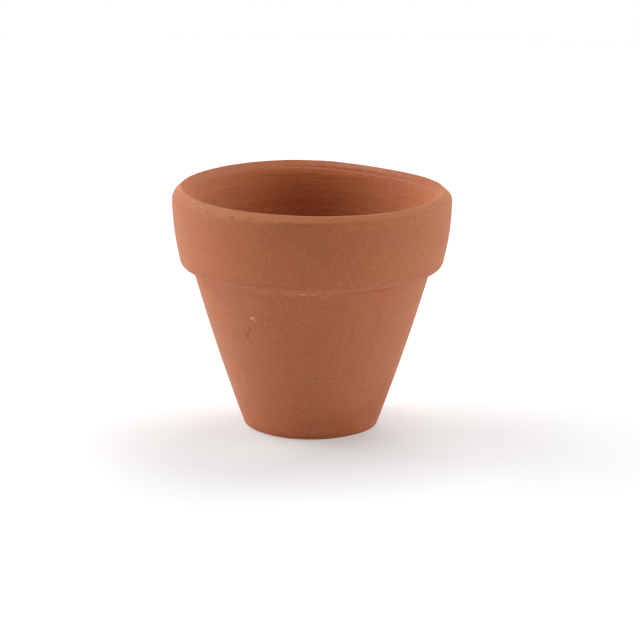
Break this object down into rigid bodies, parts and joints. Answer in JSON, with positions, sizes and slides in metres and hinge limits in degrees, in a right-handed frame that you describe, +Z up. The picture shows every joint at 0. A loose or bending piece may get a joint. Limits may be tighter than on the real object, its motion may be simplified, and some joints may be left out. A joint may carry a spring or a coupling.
{
  "type": "plant pot",
  "caption": "Tapered round terracotta plant pot with a raised collar under a bevelled rim, an open mouth and a central drain hole.",
  "frame": {"origin": "centre of the flat face the pot stands on, at the mouth of the drain hole", "axes": "+Z up along the pot's own axis, from the standing face to the rim; the pot is round about Z, so X and Y are free"},
  "size_m": [0.105, 0.1049, 0.0912],
  "materials": {
    "terracotta": "matte"
  },
  "bodies": {
    "root": {"pot": "terracotta"}
  },
  "joints": []
}
